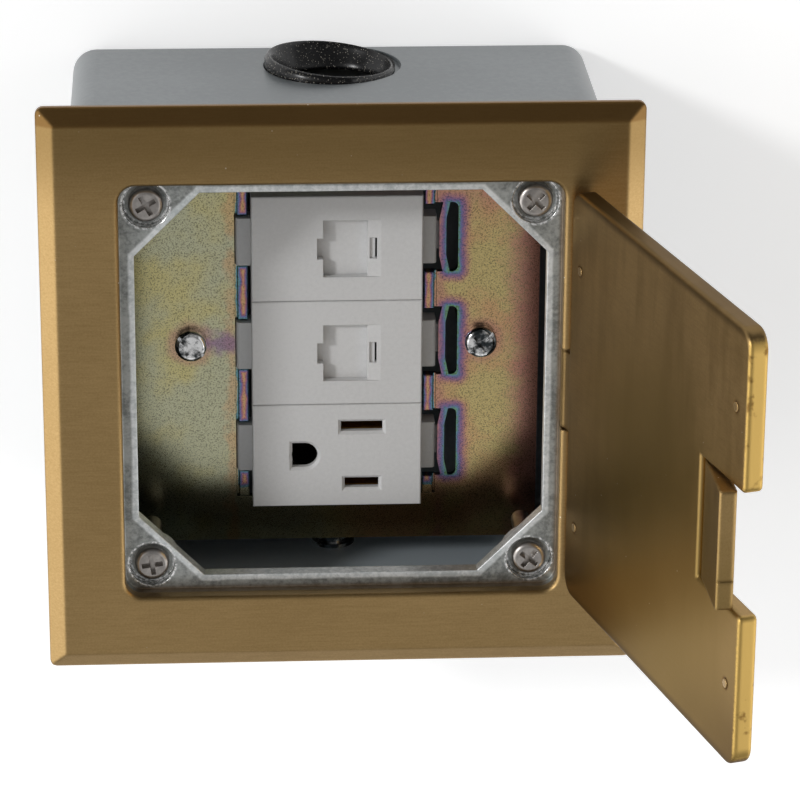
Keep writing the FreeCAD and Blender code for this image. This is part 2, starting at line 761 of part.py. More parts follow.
# ---- grommet, earth screw ---------------------------------------------------
def make_grommet():
    """A rubber ring pressed into the knockout. Its lip sits askew, low on one side."""
    wall_out = box_size / 2
    flange_y = inner_half - grommet_seat_gap - grommet_flange_thick
    inner = Part.makeCylinder(grommet_flange_r, grommet_flange_thick, vec(0, flange_y, knockout_z), Y)
    flat_z = box_floor + box_base_r - box_wall + grommet_seat_gap
    inner = inner.cut(centred(box_size, box_size, -box_depth, flat_z))
    neck = Part.makeCylinder(grommet_neck_r, wall_out - flange_y, vec(0, flange_y, knockout_z), Y)
    ring_r = (grommet_lip_r - grommet_bore_r) / 2
    ring = Part.makeTorus(grommet_lip_r - ring_r, ring_r, vec(0, 0, 0), Y)
    ring.rotate(vec(0, 0, 0), Z, -grommet_tilt_deg)
    ring.translate(vec(0, wall_out + grommet_proud - ring_r, knockout_z))
    for radius, top in ((knockout_r, wall_out - dish_depth), (dish_r, wall_out)):
        rim = Part.makeCylinder(grommet_flange_r, top, vec(0, 0, knockout_z), Y)
        ring = ring.cut(rim.cut(Part.makeCylinder(radius - thread_clearance, box_size, vec(0, 0, knockout_z), Y)))
    body = fuse([inner, neck, ring])
    bore = Part.makeCylinder(grommet_bore_r, box_size, vec(0, 0, knockout_z), Y)
    return body.cut(bore)


def make_earth_screw():
    wall = -inner_half
    washer = Part.makeCylinder(earth_washer_r, earth_washer_thick, vec(0, wall, earth_z), Y)
    head = pan_head(earth_head_r, earth_head_h, 0)
    head = head.cut(cross_recess(earth_head_r, 1.4, earth_head_h))
    head.rotate(vec(0, 0, 0), X, -90)
    head.translate(vec(0, wall + earth_washer_thick, earth_z))
    shank = rod(earth_shank_r, vec(0, wall - box_wall, earth_z), vec(0, wall, earth_z))
    return fuse([washer, head, shank])


def build():
    os.makedirs("parts", exist_ok=True)
    top_row, mid_row, low_row = module_rows
    save("trim_plate", make_trim_plate())
    save("hinge_pin", make_hinge_pin())
    save("lid", open_lid(make_lid()))
    save("lid_studs", open_lid(make_lid_studs()))
    save("cable_flap", open_lid(make_cable_flap()))
    save("flap_pin", open_lid(flap_pin_rod(flap_pin_r, flap_pin_grip)))
    save("clamp_frame", make_clamp_frame())
    save("frame_screws", make_frame_screws())
    save("plate_screws", make_plate_screws())
    save("back_box", make_back_box())
    save("corner_lugs", make_corner_lugs())
    save("strap_posts", make_strap_posts())
    save("mounting_strap", make_mounting_strap())
    save("strap_screws", make_strap_screws())
    for name, y in (("upper", top_row), ("middle", mid_row)):
        save(name + "_jack_face", make_jack_face(y))
        save(name + "_shutter", make_shutter(y))
        save(name + "_jack_core", make_jack_core(y))
        save(name + "_jack_contacts", make_jack_contacts(y))
    save("receptacle_face", make_receptacle_face(low_row))
    save("receptacle_body", make_receptacle_body(low_row))
    save("neutral_contact", make_blade_contact(low_row + slot_spacing / 2, neutral_slot))
    save("line_contact", make_blade_contact(low_row - slot_spacing / 2, line_slot))
    save("ground_contact", make_ground_contact(low_row))
    save("terminal_screws", make_terminal_screws(low_row))
    save("cable_grommet", make_grommet())
    save("earth_screw", make_earth_screw())


build()
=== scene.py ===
# %% [markdown]
# # A floor socket box, dressed for its portrait
#
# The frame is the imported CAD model: a brass trim plate with a hinged lid, a zinc clamp
# frame, a grey steel box below the floor, a plated mounting strap and three snap-in
# modules. Its shapes are the real ones, so most of the work here is finishes: each metal,
# plastic and rubber gets its own node material. One piece is made again, the rubber
# grommet's ring, because a soft lip never sits as straight as its drawing.

# %% Load the frame
import bpy
import math
from mathutils import Matrix, Vector


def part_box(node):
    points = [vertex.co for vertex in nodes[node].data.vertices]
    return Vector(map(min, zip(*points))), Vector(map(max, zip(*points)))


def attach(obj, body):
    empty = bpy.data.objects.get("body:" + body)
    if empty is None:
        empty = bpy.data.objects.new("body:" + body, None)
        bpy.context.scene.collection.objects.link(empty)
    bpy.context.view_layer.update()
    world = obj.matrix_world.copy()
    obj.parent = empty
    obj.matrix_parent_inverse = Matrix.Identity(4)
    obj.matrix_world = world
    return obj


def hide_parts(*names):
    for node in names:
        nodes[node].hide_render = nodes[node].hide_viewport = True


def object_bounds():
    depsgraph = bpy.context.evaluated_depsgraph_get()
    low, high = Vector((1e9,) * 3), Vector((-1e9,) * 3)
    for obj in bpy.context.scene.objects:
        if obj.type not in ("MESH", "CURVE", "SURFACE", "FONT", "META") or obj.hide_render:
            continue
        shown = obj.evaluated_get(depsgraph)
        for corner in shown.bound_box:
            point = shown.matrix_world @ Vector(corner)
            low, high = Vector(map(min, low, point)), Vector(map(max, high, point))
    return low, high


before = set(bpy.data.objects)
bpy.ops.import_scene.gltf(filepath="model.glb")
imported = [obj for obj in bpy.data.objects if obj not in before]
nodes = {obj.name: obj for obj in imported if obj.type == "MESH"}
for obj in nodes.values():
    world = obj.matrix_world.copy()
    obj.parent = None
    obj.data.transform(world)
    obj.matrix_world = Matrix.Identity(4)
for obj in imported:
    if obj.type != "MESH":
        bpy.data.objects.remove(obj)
cad_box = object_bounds()
print("nodes:", len(nodes), "box:", [round(v, 4) for corner in cad_box for v in corner])

MM = 0.001


# %% [markdown]
# ## Sums that write nodes
#
# A finish is mostly arithmetic on noise. Adding Math nodes by hand hides the formula, so
# one small class wraps a node's output and lets Python's operators add the nodes. Numbers
# alone stay in Python and never reach the tree.

# %% A value on a surface
class Field:
    """A number or vector that changes over a surface, on a finish's node tree."""

    def __init__(self, finish, socket):
        self.finish = finish
        self.socket = socket

    def maths(self, operation, first, second=0.0):
        return self.finish.add("ShaderNodeMath", {"operation": operation}, {0: first, 1: second})

    def __add__(self, other):
        return self.maths("ADD", self, other)

    def __sub__(self, other):
        return self.maths("SUBTRACT", self, other)

    def __rsub__(self, other):
        return self.maths("SUBTRACT", other, self)

    def __mul__(self, other):
        return self.maths("MULTIPLY", self, other)

    def __truediv__(self, other):
        return self.maths("DIVIDE", self, other)

    def __gt__(self, other):
        return self.maths("GREATER_THAN", self, other)

    def __abs__(self):
        return self.maths("ABSOLUTE", self)

    __radd__ = __add__
    __rmul__ = __mul__

    def power(self, exponent):
        return self.maths("POWER", self, exponent)

    def larger(self, other):
        return self.maths("MAXIMUM", self, other)

    def smaller(self, other):
        return self.maths("MINIMUM", self, other)


# %% [markdown]
# ## One finish, one material
#
# A finish owns a Principled shader. What is the same all over is set straight on its
# sockets; what varies is linked. The add method makes any node: its type, its settings,
# then the values or links of its sockets.

# %% Colours
def shade(red, green, blue):
    """A display colour, 0 to 1, as the linear colour that nodes work in."""
    linear = [v / 12.92 if v <= 0.04045 else ((v + 0.055) / 1.055) ** 2.4 for v in (red, green, blue)]
    return (*linear, 1.0)


print("middle grey is", round(shade(0.5, 0.5, 0.5)[0], 3), "in linear light")


# %% A sheet of sums
BEVEL_SAMPLES = 6
BUMP_STRENGTH = 0.7


class Sheet:
    """A node tree that is written as sums."""

    def __init__(self, tree):
        self.tree = tree

    def add(self, kind, settings, inputs, out=0):
        node = self.tree.nodes.new(kind)
        for key, value in settings.items():
            if key == "stops":
                self.set_stops(node.color_ramp, value)
            else:
                setattr(node, key, value)
        for key, value in inputs.items():
            self.feed(node.inputs[key], value)
        return Field(self, node.outputs[out])

    def feed(self, socket, value):
        if isinstance(value, Field):
            self.tree.links.new(value.socket, socket)
        else:
            socket.default_value = value

    def set_stops(self, ramp, stops):
        while len(ramp.elements) < len(stops):
            ramp.elements.new(0.5)
        for element, (place, colour) in zip(ramp.elements, stops):
            element.position = place
            element.color = colour

    def place(self):
        return self.add("ShaderNodeTexCoord", {}, {}, out="Object")

    def axis(self, place, letter):
        return self.add("ShaderNodeSeparateXYZ", {}, {0: place}, out=letter)

    def stretch(self, place, x, y, z):
        return self.add("ShaderNodeVectorMath", {"operation": "MULTIPLY"}, {0: place, 1: (x, y, z)})

    def turned(self, place, centre, angle):
        return self.add("ShaderNodeVectorRotate", {"rotation_type": "Y_AXIS"},
                        {"Vector": place, "Center": centre, "Angle": angle})

    def noise(self, place, scale, detail=2.0, roughness=0.5):
        return self.add("ShaderNodeTexNoise", {}, {"Vector": place, "Scale": scale, "Detail": detail,
                                                    "Roughness": roughness})

    def cells(self, place, scale):
        """The distance to the nearest of many scattered points."""
        return self.add("ShaderNodeTexVoronoi", {}, {"Vector": place, "Scale": scale})

    def between(self, value, low, high, to_low=0.0, to_high=1.0):
        """Goes smoothly from to_low to to_high as value goes from low to high."""
        return self.add("ShaderNodeMapRange", {"interpolation_type": "SMOOTHSTEP"},
                        {0: value, 1: low, 2: high, 3: to_low, 4: to_high})

    def mix(self, factor, first, second):
        return self.add("ShaderNodeMix", {"data_type": "RGBA"}, {0: factor, 6: first, 7: second}, out=2)

    def ramp(self, value, stops):
        return self.add("ShaderNodeValToRGB", {"stops": stops}, {0: value})

    def bump(self, height, distance, edge):
        """A shallow relief, on edges rounded off to the radius named edge."""
        rounded = self.add("ShaderNodeBevel", {"samples": BEVEL_SAMPLES}, {"Radius": edge})
        return self.add("ShaderNodeBump", {}, {"Strength": BUMP_STRENGTH, "Distance": distance,
                                               "Height": height, "Normal": rounded})


# %% A finish
class Finish(Sheet):
    """A node material for one kind of surface."""

    def __init__(self, name, **constants):
        self.material = bpy.data.materials.new(name)
        self.material.use_nodes = True
        super().__init__(self.material.node_tree)
        self.shader = self.tree.nodes["Principled BSDF"]
        for socket, value in constants.items():
            self.shader.inputs[socket.replace("_", " ")].default_value = value

    def varies(self, **sockets):
        for socket, value in sockets.items():
            self.feed(self.shader.inputs[socket.replace("_", " ")], value)

    def coat(self, *names):
        """Puts the finish on CAD nodes."""
        for name in names:
            data = nodes[name].data
            if not data.materials:
                data.materials.append(self.material)
            for slot in nodes[name].material_slots:
                slot.material = self.material
        print(self.material.name, "on", ", ".join(names))
        return self


# %% [markdown]
# ## The room
#
# The box stands on a pale floor under soft light. The camera looks down on the plate from
# the side of the cable entry, through a long lens, so that near and far keep nearly the
# same scale. The order of the turns matters: roll first, then tilt, then the small turn.

# %% Camera
VIEW_TILT = math.radians(21.39)
VIEW_TURN = math.radians(3.37)
VIEW_ROLL = math.radians(-0.39)
VIEW_SHIFT = Vector((0.0118, -0.0024, 0.7845))
LENS = 175.1

turn = (Matrix.Rotation(-VIEW_TURN, 3, "Y") @ Matrix.Rotation(-VIEW_TILT, 3, "X")
        @ Matrix.Rotation(-VIEW_ROLL, 3, "Z"))
camera_data = bpy.data.cameras.new("camera")
camera_data.lens = LENS
camera_data.sensor_width = 36.0
camera_data.clip_start = 0.05
camera = bpy.data.objects.new("camera", camera_data)
camera.matrix_world = Matrix.Translation(turn @ VIEW_SHIFT) @ turn.to_4x4()
bpy.context.scene.collection.objects.link(camera)
bpy.context.scene.camera = camera
bpy.context.scene.view_settings.view_transform = "Standard"
print("camera at", [round(v, 3) for v in camera.location])


# %% [markdown]
# ## The floor
#
# Even a white floor comes out light grey under soft light. A small glow lifts it to paper
# white, and only for rays that look at it or mirror it: it adds no other light to the box.

# %% Floor
def flat_mesh(name, corners, faces):
    """A mesh object made from its corners and faces."""
    mesh = bpy.data.meshes.new(name)
    mesh.from_pydata(corners, [], faces)
    thing = bpy.data.objects.new(name, mesh)
    bpy.context.scene.collection.objects.link(thing)
    return thing


FLOOR_REACH = 12.0
floor_z = cad_box[0].z - 0.02 * MM
floor = flat_mesh("floor", [(-FLOOR_REACH, -FLOOR_REACH, floor_z), (FLOOR_REACH, -FLOOR_REACH, floor_z),
                            (FLOOR_REACH, FLOOR_REACH, floor_z), (-FLOOR_REACH, FLOOR_REACH, floor_z)],
                  [(0, 1, 2, 3)])
paper = Finish("floor_paper", Roughness=0.9)
grain = paper.noise(paper.place(), 40.0, detail=3.0)
paper.varies(Base_Color=paper.mix(grain, (0.88, 0.88, 0.88, 1), (0.92, 0.92, 0.92, 1)))


def ray(kind):
    return paper.add("ShaderNodeLightPath", {}, {}, out=f"Is {kind} Ray")


FLOOR_GLOW = 0.40
lit = Field(paper, paper.shader.outputs[0])
glow = paper.add("ShaderNodeEmission", {}, {"Strength": FLOOR_GLOW})
glowing = paper.add("ShaderNodeAddShader", {}, {0: lit, 1: glow})
looked_at = ray("Camera").larger(ray("Glossy")).larger(ray("Transmission"))
shown = paper.add("ShaderNodeMixShader", {}, {0: looked_at, 1: lit, 2: glowing})
paper.feed(paper.tree.nodes["Material Output"].inputs["Surface"], shown)
floor.data.materials.append(paper.material)
print("floor at", round(floor_z / MM, 2), "mm, glow", FLOOR_GLOW)


# %% [markdown]
# ## The lights
#
# Brass shows the room more than its own colour, so most of the light is a room painted on
# the world: dim and even, with broad bright patches where windows would be. Each patch is
# a power of the cosine to its direction, so a high power makes it tight. One sun with a
# soft edge throws the shadows of the frame onto the strap.

# %% Key light
KEY_LIGHT = 1.05
KEY_DIRECTION = Vector((-0.80, 0.385, 0.60))
key_data = bpy.data.lights.new("key", "SUN")
key_data.energy = KEY_LIGHT
key_data.angle = math.radians(8)
key = bpy.data.objects.new("key", key_data)
key.rotation_mode = "QUATERNION"
key.rotation_quaternion = KEY_DIRECTION.to_track_quat("Z", "Y")
bpy.context.scene.collection.objects.link(key)
print("key light", KEY_LIGHT, "from", [round(v, 2) for v in KEY_DIRECTION.normalized()])

# %% Room
ROOM_LIGHT = 0.10
PATCHES = {  # direction, tightness, strength
    "over the plate": ((0.0, -0.58, 0.82), 20.0, 0.62),
    "behind the viewer": ((-0.35, 0.40, 0.80), 7.0, 0.14),
    "left window": ((-0.75, 0.0, 0.65), 8.0, 1.10),
    "right window": ((0.75, 0.1, 0.65), 8.0, 0.80),
    "low left": ((-1.0, -0.35, 0.12), 10.0, 2.40),
    "low right": ((1.0, -0.35, 0.08), 10.0, 2.50),
    "far wall": ((0.0, -0.9, 0.4), 8.0, 0.22),
    "lamp for the right bevel": ((0.61, -0.36, 0.70), 60.0, 1.50),
}
world = bpy.data.worlds.new("room")
world.use_nodes = True
room = Sheet(world.node_tree)
look = room.add("ShaderNodeTexCoord", {}, {}, out="Generated")
light = ROOM_LIGHT
for direction, tightness, strength in PATCHES.values():
    towards = tuple(Vector(direction).normalized())
    facing = room.add("ShaderNodeVectorMath", {"operation": "DOT_PRODUCT"}, {0: look, 1: towards},
                      out="Value")
    light = facing.larger(0.0).power(tightness) * strength + light
backdrop = world.node_tree.nodes["Background"]
backdrop.inputs["Color"].default_value = (1, 1, 1, 1)
room.feed(backdrop.inputs["Strength"], light)
bpy.context.scene.world = world
print("room:", len(PATCHES), "bright patches")


# %% [markdown]
# ## Satin brass
#
# The trim plate and lid are cast or machined brass, brushed in one direction and
# lacquered. Fine scratches all run along X, so noise is stretched far along X and packed
# tight across it; it drives colour, roughness and a shallow bump together.

# %% Brushed brass
BRASS_DARK = shade(0.62, 0.51, 0.335)
BRASS_LIGHT = shade(0.70, 0.585, 0.40)
SPECK = shade(0.93, 0.90, 0.84)
SOFT_EDGE = 0.9 * MM


def brush_marks(finish, place):
    """Hair lines along X, an even grain and a slow cloud."""
    lines = finish.noise(finish.stretch(place, 200, 3200, 3200), 1.0, detail=3.0, roughness=0.6)
    grain = finish.noise(place, 2400.0, detail=2.0)
    cloud = finish.noise(place, 28.0, detail=4.0, roughness=0.6)
    return lines, grain, cloud


def clean_brass(finish, lines, grain, cloud):
    tone = finish.between(lines * 0.35 + grain * 0.35 + cloud * 0.30, 0.32, 0.68)
    return finish.mix(tone, BRASS_DARK, BRASS_LIGHT)


def lay_brass(finish, place, marks, colour, edge):
    """Strews dust over the colour and feeds the shader."""
    lines, grain, cloud = marks
    dust = finish.between(finish.cells(place, 300.0), 0.055, 0.025)
    colour = finish.mix(dust * finish.between(cloud, 0.50, 0.56), colour, SPECK)
    finish.varies(Base_Color=colour, Roughness=0.25 + lines * 0.08 + grain * 0.08 + cloud * 0.06,
                  Normal=finish.bump(lines * 0.6 + grain * 0.4, 0.008 * MM, edge))
    return finish


# %% [markdown]
# ## The plate's painted shade
#
# The plate is painted darker towards its far side, by the cable entry, and darkest of all on
# its far bevel: painted shade, where these parts mirror the dim room.

# %% Plate and studs
# Colours and limits of the plate's painted shade. The patina colour is also the lid's cloudy bands, and the
# stain colour also its edge stains.
BRASS_PATINA_AND_SHADE = shade(0.45, 0.36, 0.21)
BRASS_STAIN_AND_SHADE = shade(0.40, 0.27, 0.12)
FAR_SHADE_START = 36 * MM
FAR_SHADE_FULL = 54 * MM
BEVEL_SHADE_START = 56.0 * MM
BEVEL_SHADE_FULL = 56.7 * MM


def plate_brass(name, edge):
    finish = Finish(name, Metallic=1.0)
    place = finish.place()
    marks = brush_marks(finish, place)
    cloud = marks[2]
    colour = clean_brass(finish, *marks)
    y = finish.axis(place, "Y")
    # Painted shade: darker towards the far side.
    far = finish.between(y + (cloud - 0.5) * (10 * MM), FAR_SHADE_START, FAR_SHADE_FULL)
    colour = finish.mix(far * 0.60, colour, BRASS_PATINA_AND_SHADE)
    # Painted shade: the far bevel is darker still.
    bevel = finish.between(y, BEVEL_SHADE_START, BEVEL_SHADE_FULL)
    colour = finish.mix(bevel * 0.55, colour, BRASS_STAIN_AND_SHADE)
    return lay_brass(finish, place, marks, colour, edge)


plate_brass("satin_brass", SOFT_EDGE).coat("trim_plate")
plate_brass("stud_brass", 0.5 * MM).coat("lid_studs")


# %% [markdown]
# ## The lid's wear and painted shade
#
# The lid stands open, so its marks are laid out as if it were shut: the place on the surface
# is turned back about the hinge before anything is measured. Its inner middle is darker,
# partly dull wear and partly painted shade set low to darken the lower corner, and its lower
# part is painted shade too. Its free edge is worn bright and carries a painted highlight, with
# stains on it; its sides and a ring round each stud are painted shade.

# %% The lid's own frame
LID_OPEN = math.radians(105.8)
LID_HALF = 43.3 * MM
STUD_X = 38.3 * MM
STUD_Y = 27.5 * MM
DULL_SHADE_CENTRE = (-6 * MM, -14 * MM)
BRASS_DULL_AND_SHADE = shade(0.555, 0.46, 0.265)
BRASS_RUBBED_AND_HIGHLIGHT = shade(0.76, 0.63, 0.36)
LID_SIDE_SHADE = shade(0.37, 0.30, 0.19)
LID_LOW_SHADE = shade(0.33, 0.25, 0.12)
LID_EDGE_TINT = (0.62, 0.60, 0.60, 1)
hinge_low, hinge_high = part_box("hinge_pin")
hinge_centre = (hinge_low + hinge_high) / 2
print("lid hinge at x", round(hinge_centre.x / MM, 1), "z", round(hinge_centre.z / MM, 2), "mm")


def away_from(from_x, from_y):
    """The distance to a point, from the distances along X and Y."""
    return (from_x * from_x + from_y * from_y).power(0.5)


# %% Inner face
def wear_and_shade_inner_face(finish, place, cloud, colour):
    x = finish.axis(place, "X")
    y = finish.axis(place, "Y")
    # Painted shade: the lower part of the inner face is coloured darker.
    low = finish.between(y + (cloud - 0.5) * (10 * MM), -18 * MM, -40 * MM)
    colour = finish.mix(low * 0.80, colour, LID_LOW_SHADE)
    inside = finish.between(finish.axis(place, "Z"), 1.0 * MM, 0.0)
    band = finish.noise(finish.stretch(place, 130, 22, 22), 1.0, detail=3.0, roughness=0.6)
    colour = finish.mix(finish.between(band, 0.42, 0.68, 0.0, 0.35) * inside, colour, BRASS_PATINA_AND_SHADE)
    # Partly dull wear, partly painted shade: a darker middle, its centre set low to darken the lower corner.
    from_dull_middle = away_from(x - DULL_SHADE_CENTRE[0], y - DULL_SHADE_CENTRE[1]) + (cloud - 0.5) * (30 * MM)
    dull_and_shade = finish.between(from_dull_middle, 54 * MM, 18 * MM)
    return finish.mix(dull_and_shade * inside * 0.85, colour, BRASS_DULL_AND_SHADE)


# %% Edges and studs
def wear_and_shade_edges(finish, place, grain, cloud, colour):
    x = finish.axis(place, "X")
    y = finish.axis(place, "Y")
    # The free edge is coloured bright: worn brass and a painted highlight.
    rim = finish.between((grain - 0.5) * (1.2 * MM) - x, LID_HALF - 1.1 * MM, LID_HALF - 0.2 * MM)
    colour = finish.mix(rim, colour, BRASS_RUBBED_AND_HIGHLIGHT)
    stain = finish.between(finish.noise(place, 260.0, detail=3.0), 0.56, 0.66)
    colour = finish.mix(rim * stain * 0.8, colour, BRASS_STAIN_AND_SHADE)
    # Painted shade: a darker band along both sides.
    side = finish.between(abs(y), LID_HALF - 2.4 * MM, LID_HALF - 0.6 * MM) * (1.0 - rim)
    colour = finish.mix(side * (0.45 + cloud * 0.7), colour, LID_SIDE_SHADE)
    # Painted shade: a darker ring round each stud.
    stud_shade = finish.between(away_from(abs(x) - STUD_X, abs(y) - STUD_Y), 1.7 * MM, 0.9 * MM)
    return finish.mix(stud_shade * 0.65, colour, BRASS_STAIN_AND_SHADE)


# %% Lid
def lid_brass(name):
    finish = Finish(name, Metallic=1.0, Specular_Tint=LID_EDGE_TINT)
    place = finish.turned(finish.place(), hinge_centre, -LID_OPEN)
    lines, grain, cloud = marks = brush_marks(finish, place)
    colour = clean_brass(finish, lines, grain, cloud)
    colour = wear_and_shade_inner_face(finish, place, cloud, colour)
    colour = wear_and_shade_edges(finish, place, grain, cloud, colour)
    return lay_brass(finish, place, marks, colour, SOFT_EDGE)


lid_brass("worn_and_shaded_brass").coat("lid", "cable_flap")


# %% [markdown]
# ## Zinc, steel and plating
#
# The clamp frame is a zinc casting, matt and mottled, with a painted highlight along the edges
# of its opening. Screws, pins and contacts share one simpler recipe. Both are a metal whose
# colour and roughness drift on two sizes of noise; the frame adds its painted highlight band,
# a painted reflection of brass along its outer edge, and painted glints round the pockets of
# its screws.

# %% Cast zinc
FRAME_HALF = 41.3 * MM
FRAME_CHAMFER = 13.2 * MM
POCKET_R = 4.65 * MM
SCREW_HEAD_R = 3.5 * MM
ZINC_DARK = shade(0.50, 0.51, 0.50)
ZINC_LIGHT = shade(0.72, 0.73, 0.72)
ZINC_HIGHLIGHT = (shade(0.80, 0.82, 0.82), shade(0.97, 0.98, 0.98))
ZINC_BRASS_REFLECTION = shade(0.48, 0.38, 0.24)
WHITE = shade(1.0, 1.0, 1.0)
screw_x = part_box("frame_screws")[1].x - SCREW_HEAD_R
print("frame screws at", round(screw_x / MM, 2), "mm from the middle")


def paint_frame_highlights(finish, x, y, blend, broad, colour):
    """A painted highlight band round the opening, and a painted reflection of brass in the outer edge."""
    corner = (abs(x) + abs(y) - (2 * FRAME_HALF - FRAME_CHAMFER)) * math.sqrt(0.5)
    from_opening = (abs(x).larger(abs(y)) - FRAME_HALF).larger(corner) + (broad - 0.5) * (0.8 * MM)
    # Painted highlight: a bright band along the edge of the opening.
    edge_highlight = finish.between(from_opening, 1.5 * MM, 0.9 * MM)
    colour = finish.mix(edge_highlight, colour, finish.mix(blend, *ZINC_HIGHLIGHT))
    # Painted reflection: brass colour along the outer edge on the +X and -Y sides.
    brass_reflection = finish.between(x.larger(0.0 - y), FRAME_HALF + 1.9 * MM, FRAME_HALF + 3.0 * MM)
    return finish.mix(brass_reflection * 0.75, colour, ZINC_BRASS_REFLECTION)


def cast_zinc(name):
    finish = Finish(name, Metallic=0.8)
    place = finish.place()
    x = finish.axis(place, "X")
    y = finish.axis(place, "Y")
    mottle = finish.noise(place, 900.0, detail=5.0, roughness=0.7)
    broad = finish.noise(place, 110.0, detail=3.0)
    blend = finish.between(mottle * 0.6 + broad * 0.4, 0.36, 0.62)
    colour = paint_frame_highlights(finish, x, y, blend, broad, finish.mix(blend, ZINC_DARK, ZINC_LIGHT))
    from_screw = away_from(abs(x) - screw_x, abs(y) - screw_x)
    rim = finish.between(abs(from_screw - POCKET_R), 0.65 * MM, 0.25 * MM)
    # Painted glints: white patches on a ring round each screw pocket.
    glint = finish.between(finish.noise(place, 1500.0), 0.42, 0.58)
    colour = finish.mix(rim * glint * 0.9, colour, WHITE)
    finish.varies(Base_Color=colour, Roughness=0.34 + mottle * 0.15 - rim * 0.20,
                  Normal=finish.bump(mottle, 0.014 * MM, 0.4 * MM))
    return finish


cast_zinc("cast_zinc").coat("clamp_frame")


# %% Plain metals
METAL_EDGE = 0.15 * MM


def plain_metal(name, dark, light, rough, scale=300.0, bump=0.01 * MM, spread=0.15):
    """A metal that drifts from dark to light. A small spread makes the change sudden."""
    finish = Finish(name, Metallic=1.0)
    place = finish.place()
    mottle = finish.noise(place, scale, detail=5.0, roughness=0.65)
    broad = finish.noise(place, scale / 6, detail=3.0)
    blend = finish.between(mottle * 0.6 + broad * 0.4, 0.5 - spread, 0.5 + spread)
    finish.varies(Base_Color=finish.mix(blend, dark, light), Roughness=rough + mottle * 0.15,
                  Normal=finish.bump(mottle, bump, METAL_EDGE))
    return finish


plain_metal("stainless", shade(0.60, 0.58, 0.565), shade(0.76, 0.74, 0.72), 0.24, 500.0).coat(
    "frame_screws", "plate_screws")
# Painted reflections: the bright zinc's colour jumps between dark and white patches, for the dark
# surroundings and bright glints a mirror shows.
plain_metal("bright_zinc", shade(0.22, 0.24, 0.25), WHITE, 0.05, 420.0, 0.02 * MM, spread=0.07).coat(
    "strap_screws", "terminal_screws", "earth_screw")
plain_metal("pin_steel", shade(0.55, 0.55, 0.56), shade(0.75, 0.75, 0.76), 0.25).coat("hinge_pin", "flap_pin")

# %% Contacts
plain_metal("contact_brass", shade(0.55, 0.38, 0.20), shade(0.74, 0.56, 0.32), 0.30).coat(
    "neutral_contact", "line_contact")
# Painted shade: the ground contact is coloured near black for the shade deep in its hole.
plain_metal("contact_in_painted_shade", shade(0.14, 0.13, 0.11), shade(0.22, 0.20, 0.17), 0.35).coat("ground_contact")
plain_metal("gold_wire", shade(0.80, 0.62, 0.28), shade(0.95, 0.78, 0.42), 0.2).coat(
    "upper_jack_contacts", "middle_jack_contacts")


# %% [markdown]
# ## Yellow chromate
#
# Zinc plate dipped in chromate carries a film so thin that it colours by interference.
# Its thickness drifts over the strap, and it thins towards every cut edge, where the
# colour runs through gold, pink, purple and blue. So the finish measures how far a point
# is from the nearest cut and looks the colour up on a ramp.

# %% Where the strap is cut
SLOT_MIDDLE = 24.2 * MM
SLOT_HALF = (1.1 * MM, 7.4 * MM)
STRAP_SCREW_X = 30.15 * MM
WINDOW_X = 21.6 * MM
STREAK_X = 24.0 * MM
TAB_MIDDLE = 19.2 * MM
TAB_HALF = 1.1 * MM
TAB_START = 5.6 * MM
TAB_END = -32.2 * MM
upper_low, upper_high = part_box("upper_jack_face")
middle_low, middle_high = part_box("middle_jack_face")
middle_y = (middle_low.y + middle_high.y) / 2
pitch = (upper_low.y + upper_high.y) / 2 - middle_y
print("module pitch:", round(pitch / MM, 2), "mm")

# %% The film's colours, thick to thin
FILM = {
    "pale": shade(0.82, 0.82, 0.69), "straw": shade(0.87, 0.83, 0.60), "gold": shade(0.88, 0.80, 0.56),
    "orange": shade(0.90, 0.72, 0.54), "pink": shade(0.84, 0.58, 0.56), "purple": shade(0.64, 0.50, 0.66),
    "blue": shade(0.50, 0.54, 0.74), "cyan": shade(0.48, 0.68, 0.72), "green": shade(0.52, 0.70, 0.54),
    "pit_and_shade": shade(0.24, 0.21, 0.12),
}
SLOT_FILM = [(0.0, "green"), (0.06, "cyan"), (0.14, "blue"), (0.26, "purple"), (0.58, "pink"), (1.0, "gold")]
TAB_FILM = [(0.0, "cyan"), (0.35, "blue"), (0.55, "purple"), (0.80, "pink"), (1.0, "orange")]


def film_ramp(finish, value, film):
    return finish.ramp(value, [(place, FILM[colour]) for place, colour in film])


# %% [markdown]
# ## A strap in three layers
#
# The strap repeats itself with every module, so one folded coordinate, bay, gives the
# distance from the nearest module's middle. Below, one function paints the open field, one
# the haloes that run along the slots and down the tabs, and the last puts them together,
# adds painted shade towards the strap's lower edge and lays a layer of fine dark pits over all.

# %% Open field
def strap_field(finish, x, y, right_side, drift, wisp, speck):
    left = finish.mix(finish.between(drift, 0.46, 0.70), FILM["pale"], FILM["straw"])
    right = finish.mix(finish.between(drift + wisp * 0.3, 0.52, 0.80), FILM["gold"], FILM["orange"])
    field = finish.mix(right_side, left, right)
    near_window = finish.between(abs(abs(x) - WINDOW_X) + (wisp - 0.5) * (6 * MM), 2.0 * MM, 0.0)
    window_film = finish.mix(right_side, FILM["orange"], FILM["pink"])
    field = finish.mix(near_window * 0.55, field, window_film)
    ragged_x = x + (wisp - 0.5) * (6 * MM) + (speck - 0.5) * (8 * MM)
    ragged_y = y + (wisp - 0.5) * (8 * MM) + (speck - 0.5) * (10 * MM)
    upper_edge = finish.between(ragged_y, 26 * MM, 37 * MM) * right_side
    far_edge = finish.between(ragged_x, 34 * MM, 40.5 * MM)
    return finish.mix(far_edge.larger(upper_edge) * 0.8, field, FILM["pink"])


